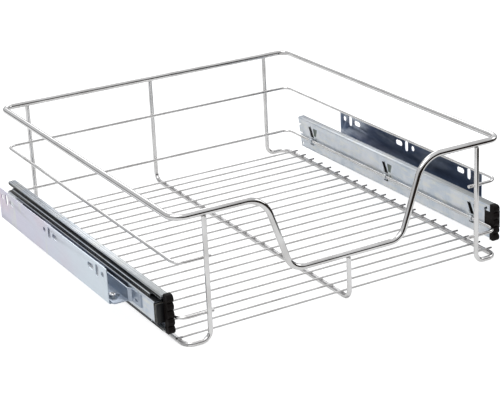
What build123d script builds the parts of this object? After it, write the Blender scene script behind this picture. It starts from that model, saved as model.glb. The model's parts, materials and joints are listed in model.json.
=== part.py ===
"""Pull-out wire basket for a kitchen cabinet, on two full-extension ball runners.

X runs across the cabinet, -Y is the front that the basket pulls out to, Z is up.
The origin is on the surface that the basket stands on, in the middle of the floor plan.
The right-hand runner is modelled and mirrored, so +X is always the outer side of a runner.
"""
from build123d import *
import os

os.makedirs("parts", exist_ok=True)

# ---------------------------------------------------------------- driving sizes (mm)
# Wires
rim_wire = 6.8            # diameters
frame_wire = 5.2
side_wire = 3.6
floor_wire = 2.4
weld_gap = 0.05           # left between two wires that are welded where they cross

# Basket
rim_width = 389.4         # between the rim's centrelines, left to right
rim_depth = 436.8         # between the rim's centrelines, front to back
rim_height = 135.9        # of the rim's centreline
rim_corner = 14.0         # bend radii are taken at the centreline
upper_wire_height = 88.5
lower_wire_height = 30.2
side_wire_inset = 0.9     # side wires lie this far inside the rim's line
side_wire_corner = 11.0
side_wire_tail = 4.5      # length past the front uprights
upright_step = 27.2       # from a long bottom wire in to its uprights
upright_outset = 2.0      # uprights stand this far outside the rim's line, front and back
foot_wire_inset = 4.5     # the long bottom wires lie this far inside the rim's line
frame_bend = 10.0         # from an upright into the bottom
frame_corner = 11.0       # round the basket's bottom corners
floor_wire_count = 21
floor_wire_overhang = 2.7 # past the outside of the bottom wires
floor_wire_end_bevel = 0.3
floor_front_gap = 3.4     # from the first floor wire to where the front uprights bend
floor_back_gap = 13.9     # and from the last one to where the back uprights bend

# Hand dip in the front of the rim
dip_height = 51.5         # of the dip's centreline
dip_top_width = 190.8     # between the corners, before they are rounded
dip_bottom_width = 133.4
dip_top_bend = 30.0
dip_bottom_bend = 20.0

# Runner, as a stack measured outwards from the basket
rail_front_inset = 16.4   # basket rail's front end, behind the rim's front line
rail_back_inset = 24.4    # and its back end, in front of the rim's back line
rail_back_slant = 8.0     # the back end is cut this much shorter at the bottom
runner_height = 39.0
runner_center = 34.4      # height of the runner's middle
rail_wall = 1.2
rail_bend = 2.0           # outside radius of the rails' bends
basket_rail_depth = 10.2
middle_rail_height = 31.0
middle_rail_depth = 10.3
cabinet_rail_height = 22.4
cabinet_rail_depth = 9.9
middle_front_setback = 20.0   # from the basket rail's ends to the other rails' ends
middle_back_setback = 15.0
cabinet_front_setback = 7.0
cabinet_back_setback = 8.0
wire_to_rail = 0.2        # lower side wire to the rail that hangs on it
running_gap = 0.3         # between parts that slide past each other

# Ball cages
cage_wall = 0.6
cage_flange = 0.8
cage_length = 176.0
ball_gap = 0.2            # from a ball to each of its races, and to its pocket
ball_pitch = 16.0

# Hooks that hold the rail on the lower side wire
front_hook_inset = 33.5   # from the rail's front end to the first of three hooks
back_hook_inset = 31.5    # and from its back end to the last
hook_width = 5.0
hook_wall = 1.2
hook_land = 0.6           # web left between the hook's roots and the openings
hook_window_height = 12.5
hook_window_width = 6.5
hook_window_lean = 7.0    # the window leans forwards by this much towards the bottom
hook_slot_height = 2.6
hook_slot_length = 8.5
press_depth = 0.6         # relief pressed into the rail's web
rib_height = 2.4
rib_from_front_hook = 12.0
rib_from_back_hook = 9.0
dish_top_width = 9.0      # a dish in front of each hook, narrower at the bottom
dish_bottom_width = 4.5
dish_height = 9.5
dish_rise = 1.5           # of its middle, above the window's middle
dish_lead = 9.0           # of its middle, in front of the hook

# Cut-outs at the rail's ends
end_notch = 9.0           # depth of the one for the bumper, in the front edge
end_notch_height = 17.0
end_notch_rise = 3.5      # its middle, above the runner's middle
front_slot_length = 5.9
front_slot_width = 2.9
front_slot_tilt = -35.0
front_slot_rise = 14.2    # above the runner's middle
end_slot_inset = 7.0      # of both end slots
back_slot_length = 6.7
back_slot_width = 2.1
back_slot_rise = -1.0
back_hole = 4.2
back_hole_inset = 10.0
back_hole_rise = -14.2
vee_depth = 8.0
vee_height = 3.2
vee_rise = 9.5

# Bumper at the rail's front
bumper_thickness = 7.2
bumper_length = 8.5
bumper_overhang = 1.2     # past the rail, above and below
bumper_lobes = 5
bumper_lobe_depth = 2.6
stop_leg = 12.0           # of the cabinet rail's own end stop, inside that rail
stop_groove = 1.2         # across each of its two grooves
stop_groove_pitch = 2.4

# Mounting plate
plate_length = 290.0
plate_lag = 9.0           # its middle lies this far behind the runner's middle
plate_height = 38.4
plate_base = 28.4         # height of its underside
plate_wall = 1.2
plate_flange = 16.0
plate_bend = 2.2
plate_corner = 2.2        # at the top of each end
plate_standoff = 23.5     # from the runner's outer face to the plate's outer face
plate_hole = 6.4
plate_slot_length = 13.5
hole_line_drop = 9.4      # from the plate's top edge to the line of holes
end_hole_margin = 10.0    # from each end to the nearest round hole
middle_hole_place = 132.0 # the middle round hole, from the same end
upright_slot_step = 13.0  # from a group's round hole to its upright slot
level_slot_step = 28.5    # and to its level slot

# Feet that join the plate to the cabinet rail
foot_wall = 1.5
foot_bend = 1.5           # radius at the foot's joggles
foot_length = 58.0
foot_joggle = 3.2         # the foot's wall stands this far off the rail
foot_tab = 20.0
foot_rise = 14.5          # height of the foot's wall above the plate's flange
foot_corner = 3.0
foot_lead = 5.5           # the front foot shows this far past the plate's front end
foot_spacing = 223.0      # front foot to rear foot
foot_edge_gap = 1.8       # from the foot to the plate's upright wall
foot_slot = 11.0          # across the foot, for setting the basket's width
foot_slot_shift = 2.0     # of the slot's middle from the screw, towards the rail
tab_slot_length = 6.0     # in the front tab
tab_slot_width = 2.4
tab_slot_rise = 4.8       # above the foot's floor
screw_shank = 4.0
screw_head = 8.2
screw_head_height = 3.4
screw_head_round = 1.1
screw_fit = 0.15          # around a screw or rivet, in its holes
screw_margin = 2.0        # from the screw's head to the edge of the plate's flange
screw_inset = 16.0        # from the foot's front to the screw
screw_cross = 5.7         # cross recess in the screw's head
screw_cross_width = 1.2
screw_cross_depth = 1.7
rivet_shank = 4.0
rivet_head = 6.4
rivet_head_height = 1.2
rivet_head_round = 0.6
rivet_tail = 5.2          # diameter of the head inside the rail
rivet_reach = 12.0        # from the tab's bend to its rivets
rivet_rises = [4.0, 10.8] # above the foot's floor

# ---------------------------------------------------------------- worked out from them
rim_x = rim_width / 2
rim_y = rim_depth / 2
foot_wire_x = rim_x - foot_wire_inset
upright_x = foot_wire_x - upright_step
upright_y = rim_y + upright_outset
foot_wire_z = frame_wire / 2
side_x = rim_x - side_wire_inset
side_y = upright_y - (frame_wire + side_wire) / 2 - weld_gap
floor_z = frame_wire + floor_wire / 2 + weld_gap
floor_front = frame_bend + floor_front_gap - upright_y
floor_back = upright_y - frame_bend - floor_back_gap
floor_half_width = foot_wire_x + frame_wire / 2 + floor_wire_overhang

web_x = side_x + side_wire / 2 + wire_to_rail      # basket face of the basket rail
rail_front = rail_front_inset - rim_y
rail_back = rim_y - rail_back_inset
rail_middle = (rail_front + rail_back) / 2
middle_front = rail_front + middle_front_setback
middle_back = rail_back - middle_back_setback
cabinet_front = rail_front + cabinet_front_setback
cabinet_back = rail_back - cabinet_back_setback
half_height = runner_height / 2
rail_bottom = runner_center - half_height
rail_top = runner_center + half_height
half_middle = middle_rail_height / 2
half_cabinet = cabinet_rail_height / 2
basket_lip = half_height - half_middle - running_gap
middle_lip = half_middle - half_cabinet - running_gap
outer_cage_x = rail_wall + running_gap             # each one measured from web_x
middle_x = outer_cage_x + cage_wall + running_gap
inner_cage_x = middle_x + rail_wall + running_gap
cabinet_x = inner_cage_x + cage_wall + running_gap
runner_thickness = cabinet_x + cabinet_rail_depth
runner_face = web_x + runner_thickness             # where the feet sit
plate_face = runner_face + plate_standoff          # what screws to the cabinet's side

plate_top = plate_base + plate_height
hole_line = plate_top - hole_line_drop
foot_floor = plate_base + plate_wall
plate_middle = rail_middle + plate_lag
plate_front = plate_middle - plate_length / 2
plate_back = plate_middle + plate_length / 2
foot_front = plate_front - foot_lead
foot_fronts = [foot_front, foot_front + foot_spacing]
foot_edge_x = plate_face - plate_wall - foot_edge_gap
screw_x = plate_face - plate_flange + screw_head / 2 + screw_margin
screw_places = [front + screw_inset for front in foot_fronts]


def across(x, y, z):
    """A plane that faces the front, so that sections drawn on it run along the runner."""
    return Plane(origin=(x, y, z), x_dir=(1, 0, 0), z_dir=(0, -1, 0))


def side_on(x):
    """A plane that faces the cabinet's right side: its x is the model's Y, its y is Z."""
    return Plane(origin=(x, 0, 0), x_dir=(0, 1, 0), z_dir=(1, 0, 0))


def rivet_spots(front):
    """The two rivets through a foot's rear tab, as (Y, Z)."""
    rivet_y = front + foot_length + foot_joggle + rivet_reach
    return [(rivet_y, foot_floor + rise) for rise in rivet_rises]


def save(piece, name):
    piece.part.label = name
    export_step(piece.part, f"parts/{name}.step")


def save_pair(piece, name):
    """Saves the right-hand piece, and its mirror image as the left-hand one."""
    save(piece, f"right_{name}")
    with BuildPart() as other:
        mirror(piece.part, about=Plane.YZ)
    save(other, f"left_{name}")


def bent_wire(points, radii, diameter, closed=False):
    """A round wire bent at each inner point, or at every point where it is closed."""
    with BuildPart() as wire:
        with BuildLine() as route:
            FilletPolyline(*points, radius=radii, close=closed)
        with BuildSketch(Plane(origin=route.line @ 0, z_dir=route.line % 0)):
            Circle(diameter / 2)
        sweep(path=route.line)
    return wire


# ---------------------------------------------------------------- basket wires
def rim_points():
    """Clockwise from above, from the back right corner, with the dip in the front run."""
    top_half = dip_top_width / 2
    bottom_half = dip_bottom_width / 2
    return [
        (rim_x, rim_y, rim_height),
        (rim_x, -rim_y, rim_height),
        (top_half, -rim_y, rim_height),
        (bottom_half, -rim_y, dip_height),
        (-bottom_half, -rim_y, dip_height),
        (-top_half, -rim_y, rim_height),
        (-rim_x, -rim_y, rim_height),
        (-rim_x, rim_y, rim_height),
    ]


rim_bends = [
    rim_corner,
    rim_corner,
    dip_top_bend,
    dip_bottom_bend,
    dip_bottom_bend,
    dip_top_bend,
    rim_corner,
    rim_corner,
]
save(bent_wire(rim_points(), rim_bends, rim_wire, closed=True), "rim_wire")


def side_loop(height):
    """Round the left side, the back and the right side, inside the uprights."""
    tail_x = upright_x - frame_wire / 2 - side_wire_tail
    points = [
        (-tail_x, -side_y, height),
        (-side_x, -side_y, height),
        (-side_x, side_y, height),
        (side_x, side_y, height),
        (side_x, -side_y, height),
        (tail_x, -side_y, height),
    ]
    return bent_wire(points, [side_wire_corner] * 4, side_wire)


save(side_loop(upper_wire_height), "upper_side_wire")
save(side_loop(lower_wire_height), "lower_side_wire")

upright_top = rim_height - rim_wire / 2 - weld_gap
dip_underside = dip_height - rim_wire / 2 - weld_gap
side_frame_points = [
    (upright_x, upright_y, upright_top),
    (upright_x, upright_y, foot_wire_z),
    (foot_wire_x, upright_y, foot_wire_z),
    (foot_wire_x, -upright_y, foot_wire_z),
    (upright_x, -upright_y, foot_wire_z),
    (upright_x, -upright_y, upright_top),
]
side_frame_bends = [frame_bend, frame_corner, frame_corner, frame_bend]
save_pair(bent_wire(side_frame_points, side_frame_bends, frame_wire), "frame_wire")

centre_frame_points = [
    (0, upright_y, upright_top),
    (0, upright_y, foot_wire_z),
    (0, -upright_y, foot_wire_z),
    (0, -upright_y, dip_underside),
]
save(bent_wire(centre_frame_points, [frame_bend] * 2, frame_wire), "centre_frame_wire")

floor_pitch = (floor_back - floor_front) / (floor_wire_count - 1)
for number in range(floor_wire_count):
    wire_y = floor_front + number * floor_pitch
    with BuildPart() as rod:
        with BuildSketch(Plane(origin=(0, wire_y, floor_z), z_dir=(1, 0, 0))):
            Circle(floor_wire / 2)
        extrude(amount=floor_half_width, both=True)
        chamfer(rod.edges().filter_by(GeomType.CIRCLE), floor_wire_end_bevel)
    save(rod, f"floor_wire_{number + 1:02d}")


# ---------------------------------------------------------------- runner rails
def channel(depth, height, lip, opens_out):
    """Draws a lipped channel from X = 0 outwards, open towards the cabinet or the basket."""
    open_side = depth - rail_wall / 2 if opens_out else rail_wall / 2
    inner_depth = depth - 2 * rail_wall
    inner_height = height - 2 * rail_wall
    with Locations((depth / 2, 0)):
        RectangleRounded(depth, height, rail_bend)
        RectangleRounded(inner_depth, inner_height, rail_bend - rail_wall, mode=Mode.SUBTRACT)
    with Locations((open_side, 0)):
        Rectangle(2 * rail_wall, height - 2 * lip, mode=Mode.SUBTRACT)


front_hook = rail_front + front_hook_inset
back_hook = rail_back - back_hook_inset
hook_places = [front_hook, (front_hook + back_hook) / 2, back_hook]
hook_bore = side_wire / 2 + wire_to_rail
window_bottom = lower_wire_height + hook_bore + hook_wall + hook_land
window_top = window_bottom + hook_window_height
window_middle = (window_bottom + window_top) / 2
slot_top = lower_wire_height - hook_bore - hook_wall - hook_land
notch_middle = runner_center + end_notch_rise
vee_middle = runner_center + vee_rise

with BuildPart() as basket_rail:
    with BuildSketch(across(web_x, rail_back, runner_center)):
        channel(basket_rail_depth, runner_height, basket_lip, True)
    extrude(amount=rail_back - rail_front)
    with BuildSketch(side_on(web_x)):
        Polygon(
            (rail_back, rail_top),
            (rail_back, rail_bottom),
            (rail_back - rail_back_slant, rail_bottom),
            align=None,
        )
    extrude(amount=basket_rail_depth, mode=Mode.SUBTRACT)

    # windows above the wire and slots below it, where the hooks are cut free
    with BuildSketch(side_on(web_x)):
        for place in hook_places:
            top_back = place + hook_window_lean / 2 + hook_window_width / 2
            bottom_back = place - hook_window_lean / 2 + hook_window_width / 2
            Polygon(
                (top_back, window_top),
                (top_back - hook_window_width, window_top),
                (bottom_back - hook_window_width, window_bottom),
                (bottom_back, window_bottom),
                align=None,
            )
            slot_front = place - hook_window_lean / 2 - hook_width / 2
            slot_middle = slot_front + hook_slot_length / 2
            with Locations((slot_middle, slot_top - hook_slot_height / 2)):
                Rectangle(hook_slot_length, hook_slot_height)
        # round hole and slot in the back end, V-notch in its edge
        with Locations((rail_back - back_hole_inset, runner_center + back_hole_rise)):
            Circle(back_hole / 2)
        with Locations((rail_back - end_slot_inset, runner_center + back_slot_rise)):
            SlotOverall(back_slot_length, back_slot_width)
        Polygon(
            (rail_back, vee_middle + vee_height / 2),
            (rail_back - vee_depth, vee_middle + vee_height / 2),
            (rail_back, vee_middle - vee_height / 2),
            align=None,
        )
        # slot and bumper notch in the front end
        with Locations((rail_front + end_slot_inset, runner_center + front_slot_rise)):
            SlotOverall(front_slot_length, front_slot_width, rotation=front_slot_tilt)
        with Locations((rail_front + end_notch / 2, notch_middle)):
            Rectangle(end_notch, end_notch_height)
    extrude(amount=rail_wall, mode=Mode.SUBTRACT)

    # relief pressed into the web: a long rib behind the wire and a dish by each hook
    with BuildSketch(side_on(web_x)):
        for start, end in zip(hook_places, hook_places[1:]):
            rib_front = start + rib_from_front_hook
            rib_back = end - rib_from_back_hook
            with Locations(((rib_front + rib_back) / 2, lower_wire_height + side_wire / 2)):
                SlotOverall(rib_back - rib_front, rib_height)
        for place in hook_places:
            dish_y = place - dish_lead
            dish_top = window_middle + dish_rise + dish_height / 2
            dish_bottom = dish_top - dish_height
            Polygon(
                (dish_y + dish_top_width / 2, dish_top),
                (dish_y - dish_top_width / 2, dish_top),
                (dish_y - dish_bottom_width / 2, dish_bottom),
                (dish_y + dish_bottom_width / 2, dish_bottom),
                align=None,
            )
    extrude(amount=press_depth, mode=Mode.SUBTRACT)

    # hooks: a strip of the web bowed inwards, round the wire
    wire_from_web = side_x - web_x
    for place in hook_places:
        hook_back = place - hook_window_lean / 2 + hook_width / 2
        with BuildSketch(across(web_x, hook_back, lower_wire_height)):
            with Locations((wire_from_web, 0)):
                Circle(hook_bore + hook_wall)
            with Locations((wire_from_web / 2, 0)):
                Rectangle(-wire_from_web, 2 * (hook_bore + hook_wall))
            with Locations((wire_from_web, 0)):
                Circle(hook_bore, mode=Mode.SUBTRACT)
            with Locations((wire_from_web / 2, 0)):
                Rectangle(-wire_from_web, 2 * hook_bore, mode=Mode.SUBTRACT)
            with Locations((hook_bore + hook_wall, 0)):
                Rectangle(2 * (hook_bore + hook_wall), runner_height, mode=Mode.SUBTRACT)
        extrude(amount=hook_width)
save_pair(basket_rail, "basket_rail")

with BuildPart() as middle_rail:
    with BuildSketch(across(web_x + middle_x, middle_back, runner_center)):
        channel(middle_rail_depth, middle_rail_height, middle_lip, True)
    extrude(amount=middle_back - middle_front)
save_pair(middle_rail, "middle_rail")

with BuildPart() as cabinet_rail:
    with BuildSketch(across(web_x + cabinet_x, cabinet_back, runner_center)):
        channel(cabinet_rail_depth, cabinet_rail_height, rail_wall, False)
    extrude(amount=cabinet_back - cabinet_front)
    with BuildSketch(side_on(runner_face)):
        for front in foot_fronts:
            with Locations(*rivet_spots(front)):
                Circle(rivet_shank / 2 + screw_fit)
    extrude(amount=-rail_wall, mode=Mode.SUBTRACT)
save_pair(cabinet_rail, "cabinet_rail")


# ---------------------------------------------------------------- ball cages and balls
def cage_and_balls(start_x, end_x, inner_race, outer_race, middle_y):
    """A bent strip with pockets, and its balls, between two rails' flanges."""
    ball_radius = (outer_race - inner_race) / 2 - ball_gap
    ball_z = (outer_race + inner_race) / 2
    ball_x = web_x + (start_x + cage_wall + end_x) / 2
    count = int((cage_length - 2 * ball_radius) // ball_pitch) + 1
    first = middle_y - (count - 1) * ball_pitch / 2
    ball_places = [(ball_x, first + step * ball_pitch) for step in range(count)]
    outer_half = ball_z + cage_flange / 2
    inner_half = ball_z - cage_flange / 2
    with BuildPart() as cage:
        cage_back = middle_y + cage_length / 2
        with BuildSketch(across(web_x + start_x, cage_back, runner_center)):
            depth = end_x - start_x
            with Locations((depth / 2, 0)):
                Rectangle(depth, 2 * outer_half)
            with Locations((depth / 2 + cage_wall, 0)):
                Rectangle(depth, 2 * inner_half, mode=Mode.SUBTRACT)
        extrude(amount=cage_length)
        with BuildSketch(Plane.XY.offset(runner_center)):
            with Locations(*ball_places):
                Circle(ball_radius + ball_gap)
        extrude(amount=runner_height / 2, both=True, mode=Mode.SUBTRACT)
    with BuildPart() as balls:
        for side in (-1, 1):
            spots = [(x, y, runner_center + side * ball_z) for x, y in ball_places]
            with Locations(*spots):
                Sphere(ball_radius)
    return cage, balls


# each cage sits midway between the ends that come nearest to it as the rails pass
outer_cage, outer_balls = cage_and_balls(
    outer_cage_x,
    basket_rail_depth - rail_wall - running_gap,
    half_middle,
    half_height - rail_wall,
    (middle_front + rail_back) / 2,
)
save_pair(outer_cage, "outer_ball_cage")
save_pair(outer_balls, "outer_balls")

inner_cage, inner_balls = cage_and_balls(
    inner_cage_x,
    middle_x + middle_rail_depth - rail_wall - running_gap,
    half_cabinet,
    half_middle - rail_wall,
    (cabinet_front + middle_back) / 2,
)
save_pair(inner_cage, "inner_ball_cage")
save_pair(inner_balls, "inner_balls")

# ---------------------------------------------------------------- plastic ends
bumper_bottom = rail_bottom - bumper_overhang
bumper_top = rail_top + bumper_overhang
lobe_pitch = (bumper_top - bumper_bottom) / bumper_lobes
lobe_root = rail_front - bumper_length + bumper_lobe_depth
with BuildPart() as bumper:
    with BuildSketch(side_on(web_x)):
        with BuildLine():
            for lobe in range(bumper_lobes):
                low = bumper_bottom + lobe * lobe_pitch
                ThreePointArc(
                    (lobe_root, low),
                    (lobe_root - bumper_lobe_depth, low + lobe_pitch / 2),
                    (lobe_root, low + lobe_pitch),
                )
            Polyline(
                (lobe_root, bumper_top),
                (rail_front, bumper_top),
                (rail_front, bumper_bottom),
                (lobe_root, bumper_bottom),
            )
        make_face()
    extrude(amount=bumper_thickness)
    # the leg that fills the notch in the rail's web
    leg_gap = wire_to_rail
    leg_length = end_notch - leg_gap
    with BuildSketch(side_on(web_x)):
        with Locations((rail_front + leg_length / 2, notch_middle)):
            Rectangle(leg_length, end_notch_height - 2 * leg_gap)
    extrude(amount=middle_x - running_gap)
save_pair(bumper, "bumper")

stop_gap = wire_to_rail
stop_front = rail_front + 2 * running_gap
stop_half = half_cabinet - rail_wall - stop_gap
stop_depth = cabinet_rail_depth - stop_gap
with BuildPart() as cabinet_stop:
    with BuildSketch(across(web_x + cabinet_x + stop_gap, cabinet_front, runner_center)):
        with Locations((stop_depth / 2, 0)):
            Rectangle(stop_depth, 2 * stop_half)
    extrude(amount=cabinet_front - stop_front)
    leg_back = cabinet_front + stop_leg
    with BuildSketch(across(web_x + cabinet_x + stop_gap, leg_back, runner_center)):
        leg_depth = stop_depth - rail_wall - stop_gap
        with Locations((leg_depth / 2, 0)):
            RectangleRounded(leg_depth, 2 * stop_half, rail_bend - rail_wall)
    extrude(amount=stop_leg)
    # two grooves up the face that shows beside the rail's end
    groove_x = web_x + cabinet_x + cabinet_rail_depth
    groove_y = (cabinet_front + stop_front) / 2
    groove_step = stop_groove_pitch / 2
    with BuildSketch(Plane.XY.offset(runner_center)):
        with Locations((groove_x, groove_y - groove_step), (groove_x, groove_y + groove_step)):
            Rectangle(stop_groove, stop_groove)
    extrude(amount=half_cabinet, both=True, mode=Mode.SUBTRACT)
save_pair(cabinet_stop, "cabinet_stop")


# ---------------------------------------------------------------- mounting plates
def slot_groups():
    """Each group's round hole, and which way its slots lie, from one end of the plate."""
    return [
        (end_hole_margin, 1),
        (middle_hole_place, 1),
        (plate_length - end_hole_margin, -1),
    ]


def mounting_plate(turned):
    """An angle plate. turned is 1 with the first group at the front, -1 at the back."""
    with BuildPart() as plate:
        with BuildSketch(across(plate_face, plate_back, plate_base)):
            with Locations((-plate_wall / 2, plate_height / 2)):
                Rectangle(plate_wall, plate_height)
            with Locations((-plate_flange / 2, plate_wall / 2)):
                Rectangle(plate_flange, plate_wall)
        extrude(amount=plate_length)
        bends = plate.edges().filter_by(Axis.Y)
        outer_bend = bends.sort_by_distance((plate_face, plate_middle, plate_base))[0]
        corner = (plate_face - plate_wall, plate_middle, plate_base + plate_wall)
        inner_bend = bends.sort_by_distance(corner)[0]
        fillet(outer_bend, plate_bend)
        fillet(inner_bend, plate_bend - plate_wall)
        upright_ends = plate.edges().filter_by(Axis.X).group_by(Axis.Z)[-1]
        fillet(upright_ends, plate_corner)
        with BuildSketch(side_on(plate_face)):
            for place, direction in slot_groups():
                from_middle = place - plate_length / 2
                hole_y = plate_middle + turned * from_middle
                levelling_y = hole_y + turned * direction * upright_slot_step
                level_y = hole_y + turned * direction * level_slot_step
                with Locations((hole_y, hole_line)):
                    Circle(plate_hole / 2)
                with Locations((levelling_y, hole_line)):
                    SlotOverall(plate_slot_length, plate_hole, rotation=90)
                with Locations((level_y, hole_line)):
                    SlotOverall(plate_slot_length, plate_hole)
        extrude(amount=-plate_wall, mode=Mode.SUBTRACT)
        # holes for the feet's screws
        with BuildSketch(Plane.XY.offset(plate_base)):
            with Locations(*[(screw_x, y) for y in screw_places]):
                Circle(screw_shank / 2 + screw_fit)
        extrude(amount=plate_wall, mode=Mode.SUBTRACT)
    return plate


save(mounting_plate(1), "right_mounting_plate")
with BuildPart() as left_plate:
    mirror(mounting_plate(-1).part, about=Plane.YZ)
save(left_plate, "left_mounting_plate")


# ---------------------------------------------------------------- feet and fasteners
def foot(front):
    """An angle whose wall is joggled back to the rail at both ends."""
    back = front + foot_length
    wall_x = runner_face + foot_joggle + foot_wall / 2
    tab_x = runner_face + foot_wall / 2
    with BuildPart() as bracket:
        with BuildSketch(Plane.XY.offset(foot_floor)):
            with BuildLine() as plan:
                FilletPolyline(
                    (tab_x, front - foot_joggle - foot_tab),
                    (tab_x, front - foot_joggle),
                    (wall_x, front),
                    (wall_x, back),
                    (tab_x, back + foot_joggle),
                    (tab_x, back + foot_joggle + foot_tab),
                    radius=foot_bend,
                )
            trace(plan.line, line_width=foot_wall)
        extrude(amount=foot_rise)
        with BuildSketch(Plane.XY.offset(foot_floor)):
            with Locations(((wall_x + foot_edge_x) / 2, (front + back) / 2)):
                Rectangle(foot_edge_x - wall_x, foot_length)
        extrude(amount=foot_wall)
        outer_corners = bracket.edges().filter_by(Axis.Z).group_by(Axis.X)[-1]
        fillet(outer_corners, foot_corner)
        tab_tops = bracket.edges().filter_by(Axis.X).group_by(Axis.Z)[-1]
        fillet(tab_tops, foot_corner)
        # screw slot in the flange, slot in the front tab, rivet holes in the rear tab
        with BuildSketch(Plane.XY.offset(foot_floor)):
            with Locations((screw_x - foot_slot_shift, front + screw_inset)):
                SlotOverall(foot_slot, screw_shank + 2 * screw_fit)
        extrude(amount=foot_wall, mode=Mode.SUBTRACT)
        with BuildSketch(side_on(runner_face)):
            with Locations((front - foot_joggle - foot_tab / 2, foot_floor + tab_slot_rise)):
                SlotOverall(tab_slot_length, tab_slot_width)
            with Locations(*rivet_spots(front)):
                Circle(rivet_shank / 2 + screw_fit)
        extrude(amount=foot_wall, mode=Mode.SUBTRACT)
    return bracket


for title, front in zip(("front", "rear"), foot_fronts):
    save_pair(foot(front), f"{title}_foot")

screw_base = foot_floor + foot_wall
with BuildPart() as foot_screws:
    for screw_y in screw_places:
        with BuildSketch(Plane(origin=(screw_x, screw_y, screw_base))):
            Circle(screw_head / 2)
        extrude(amount=screw_head_height)
        with BuildSketch(Plane(origin=(screw_x, screw_y, screw_base + screw_head_height))):
            Rectangle(screw_cross, screw_cross_width)
            Rectangle(screw_cross_width, screw_cross)
        extrude(amount=-screw_cross_depth, mode=Mode.SUBTRACT)
        with BuildSketch(Plane(origin=(screw_x, screw_y, screw_base))):
            Circle(screw_shank / 2)
        extrude(amount=-(foot_wall + 2 * plate_wall))
    head_rims = foot_screws.edges().filter_by(GeomType.CIRCLE).group_by(Axis.Z)[-1]
    fillet(head_rims, screw_head_round)
save_pair(foot_screws, "foot_screws")

with BuildPart() as foot_rivets:
    for front in foot_fronts:
        for rivet_y, rivet_z in rivet_spots(front):
            tab_face = Plane(origin=(runner_face + foot_wall, rivet_y, rivet_z), z_dir=(1, 0, 0))
            with BuildSketch(tab_face):
                Circle(rivet_head / 2)
            extrude(amount=rivet_head_height)
            with BuildSketch(tab_face):
                Circle(rivet_shank / 2)
            extrude(amount=-(foot_wall + rail_wall + rivet_head_height))
            with BuildSketch(tab_face.offset(-foot_wall - rail_wall)):
                Circle(rivet_tail / 2)
            extrude(amount=-rivet_head_height)
    head_rims = foot_rivets.edges().filter_by(GeomType.CIRCLE).group_by(Axis.X)[-1]
    fillet(head_rims, rivet_head_round)
save_pair(foot_rivets, "foot_rivets")
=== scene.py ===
import bpy
import bmesh
import json
import math
from mathutils import Matrix, Vector

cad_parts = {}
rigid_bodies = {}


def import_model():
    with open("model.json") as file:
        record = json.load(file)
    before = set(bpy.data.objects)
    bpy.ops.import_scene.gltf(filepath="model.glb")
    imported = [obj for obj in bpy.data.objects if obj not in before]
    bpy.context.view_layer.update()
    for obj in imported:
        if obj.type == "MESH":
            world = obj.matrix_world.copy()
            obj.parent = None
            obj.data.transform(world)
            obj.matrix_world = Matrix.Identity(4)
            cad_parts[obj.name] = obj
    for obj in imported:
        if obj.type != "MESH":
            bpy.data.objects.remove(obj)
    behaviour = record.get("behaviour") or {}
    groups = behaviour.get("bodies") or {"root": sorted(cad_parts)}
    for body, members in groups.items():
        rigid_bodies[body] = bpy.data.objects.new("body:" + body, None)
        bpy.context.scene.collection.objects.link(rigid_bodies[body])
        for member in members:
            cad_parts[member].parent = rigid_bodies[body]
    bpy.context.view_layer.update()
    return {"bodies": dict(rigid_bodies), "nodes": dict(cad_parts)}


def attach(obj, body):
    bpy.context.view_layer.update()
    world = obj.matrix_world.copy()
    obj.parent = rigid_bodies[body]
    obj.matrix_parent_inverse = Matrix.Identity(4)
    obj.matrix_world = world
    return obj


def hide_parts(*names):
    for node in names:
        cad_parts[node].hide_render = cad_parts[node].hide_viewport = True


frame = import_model()
nodes = frame["nodes"]
mm = 0.001
print("frame loaded:", len(nodes), "nodes")


class Signal:  # a value on a socket; arithmetic with it adds Math nodes
    def __init__(self, graph, socket):
        self.graph = graph
        self.socket = socket

    def maths(self, operation, first, second=0.0):
        return self.graph.node("ShaderNodeMath", {"operation": operation}, {0: first, 1: second})

    def __add__(self, other):
        return self.maths("ADD", self, other)

    def __radd__(self, other):
        return self.maths("ADD", other, self)

    def __sub__(self, other):
        return self.maths("SUBTRACT", self, other)

    def __rsub__(self, other):
        return self.maths("SUBTRACT", other, self)

    def __mul__(self, other):
        return self.maths("MULTIPLY", self, other)

    def __rmul__(self, other):
        return self.maths("MULTIPLY", other, self)

    def __truediv__(self, other):
        return self.maths("DIVIDE", self, other)

    def __mod__(self, other):
        return self.maths("MODULO", self, other)

    def __abs__(self):
        return self.maths("ABSOLUTE", self)

    def larger(self, other):
        return self.maths("MAXIMUM", self, other)

    def through(self, operation):  # a Math node with one input, such as FLOOR or SINE
        return self.maths(operation, self)


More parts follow.
